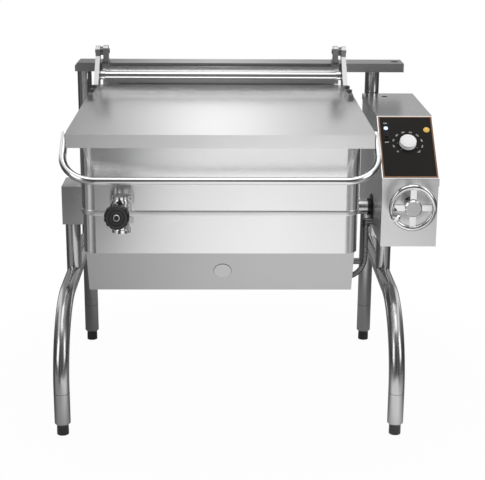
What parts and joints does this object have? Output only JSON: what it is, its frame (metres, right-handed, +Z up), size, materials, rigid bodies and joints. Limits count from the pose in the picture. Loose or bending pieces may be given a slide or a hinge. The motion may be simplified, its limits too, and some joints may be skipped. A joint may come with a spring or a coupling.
{
  "type": "bratt pan",
  "caption": "Tilting rectangular braising pan on a tubular stand, with hinged cover, worm drive and handwheel, side control console and draw-off valve.",
  "frame": {"origin": "bottom centre of the object's bounding box, on the floor under the feet", "axes": "+X to the right seen from the front, +Y to the back, +Z up"},
  "size_m": [1.22, 1.131, 1.127],
  "materials": {
    "satin_steel": "brushed",
    "tube_steel": "satin",
    "chrome": "polished",
    "dark_steel": "dull",
    "black_plastic": "matt",
    "panel_black": "gloss",
    "bronze": "satin",
    "white_plastic": "gloss",
    "amber_plastic": "gloss",
    "hose_grey": "satin",
    "cast_bearing": "cast",
    "bronze_gear": "machined"
  },
  "bodies": {
    "stand": {"rear_leg_left": "tube_steel", "rear_leg_right": "tube_steel", "front_leg_left": "tube_steel", "front_leg_right": "tube_steel", "upright_left": "tube_steel", "upright_right": "tube_steel", "rear_cross_tube": "tube_steel", "rear_beam": "satin_steel", "leg_inserts": "tube_steel", "bearing_left": "cast_bearing", "bearing_housing_left": "satin_steel", "bearing_right": "cast_bearing", "bearing_outer": "cast_bearing", "console_body": "satin_steel", "console_cover": "satin_steel", "console_bracket": "tube_steel", "panel_border": "bronze", "panel_plate": "panel_black", "thermostat": "dark_steel", "switch_housing": "black_plastic", "signal_lamp": "amber_plastic", "contactor": "black_plastic", "worm_frame": "cast_bearing", "handwheel_bush": "chrome", "conduit_elbow": "dark_steel", "conduit_hose": "hose_grey", "shaft_seal": "black_plastic"},
    "pan": {"pan_vessel": "satin_steel", "pan_jacket": "satin_steel", "heating_plate": "dark_steel", "heating_elements": "dark_steel", "heater_box": "satin_steel", "box_plug": "satin_steel", "trunnion_left": "tube_steel", "trunnion_right": "tube_steel", "hinge_channel": "satin_steel", "hinge_bracket_left": "satin_steel", "hinge_bracket_right": "satin_steel", "hinge_pins": "dark_steel", "valve_body": "chrome", "valve_flange": "satin_steel", "worm_gear": "bronze_gear", "conduit_connector": "dark_steel"},
    "cover": {"cover_shell": "satin_steel", "cover_arm_left": "satin_steel", "cover_arm_right": "satin_steel", "arm_bolts": "dark_steel", "torque_tube": "tube_steel", "cover_handle": "tube_steel"},
    "handwheel": {"handwheel": "chrome", "worm": "dark_steel"},
    "crank_knob": {"crank_knob": "chrome"},
    "valve_knob": {"valve_knob": "black_plastic"},
    "valve_plug": {"valve_plug": "chrome"},
    "dial": {"dial_knob": "white_plastic"},
    "switch": {"rocker_switch": "black_plastic"},
    "foot_front_left": {"foot_front_left": "black_plastic"},
    "foot_front_right": {"foot_front_right": "black_plastic"},
    "foot_rear_left": {"foot_rear_left": "black_plastic"},
    "foot_rear_right": {"foot_rear_right": "black_plastic"}
  },
  "joints": [
    {"name": "pan_tilt", "type": "hinge", "parent": "stand", "child": "pan", "pos_m": [-0.082, 0.0795, 0.632], "axis": [1, 0, 0], "range_deg": [0, 80], "deforming": ["conduit_hose"]},
    {"name": "cover_hinge", "type": "hinge", "parent": "pan", "child": "cover", "pos_m": [-0.082, 0.4395, 1.108], "axis": [-1, 0, 0], "range_deg": [0, 90]},
    {"name": "handwheel_turn", "type": "hinge", "parent": "stand", "child": "handwheel", "pos_m": [0.519, -0.2505, 0.715], "axis": [0, 1, 0], "range_deg": [0, 2480]},
    {"name": "crank_spin", "type": "hinge", "parent": "handwheel", "child": "crank_knob", "pos_m": [0.461, -0.2805, 0.694], "axis": [0, 1, 0], "continuous": true},
    {"name": "valve_turn", "type": "hinge", "parent": "pan", "child": "valve_knob", "pos_m": [-0.38, -0.5505, 0.766], "axis": [0, -1, 0], "range_deg": [0, 720]},
    {"name": "valve_lift", "type": "slide", "parent": "pan", "child": "valve_plug", "axis": [0, -1, 0], "range_m": [0, 0.018]},
    {"name": "dial_turn", "type": "hinge", "parent": "stand", "child": "dial", "pos_m": [0.52, -0.07662, 0.88151], "axis": [0, 0.6413, -0.7673], "range_deg": [0, 270]},
    {"name": "switch_rock", "type": "hinge", "parent": "stand", "child": "switch", "pos_m": [0.453, -0.04517, 0.91092], "axis": [1, 0, 0], "range_deg": [0, 20]},
    {"name": "foot_screw_front_left", "type": "slide", "parent": "stand", "child": "foot_front_left", "axis": [0, 0, -1], "range_m": [0, 0.025]},
    {"name": "foot_screw_front_right", "type": "slide", "parent": "stand", "child": "foot_front_right", "axis": [0, 0, -1], "range_m": [0, 0.025]},
    {"name": "foot_screw_rear_left", "type": "slide", "parent": "stand", "child": "foot_rear_left", "axis": [0, 0, -1], "range_m": [0, 0.025]},
    {"name": "foot_screw_rear_right", "type": "slide", "parent": "stand", "child": "foot_rear_right", "axis": [0, 0, -1], "range_m": [0, 0.025]}
  ],
  "couplings": [
    {"joint": "handwheel_turn", "follows": "pan_tilt", "ratio": 31},
    {"joint": "valve_lift", "follows": "valve_turn", "m_per_rad": 0.001432}
  ]
}
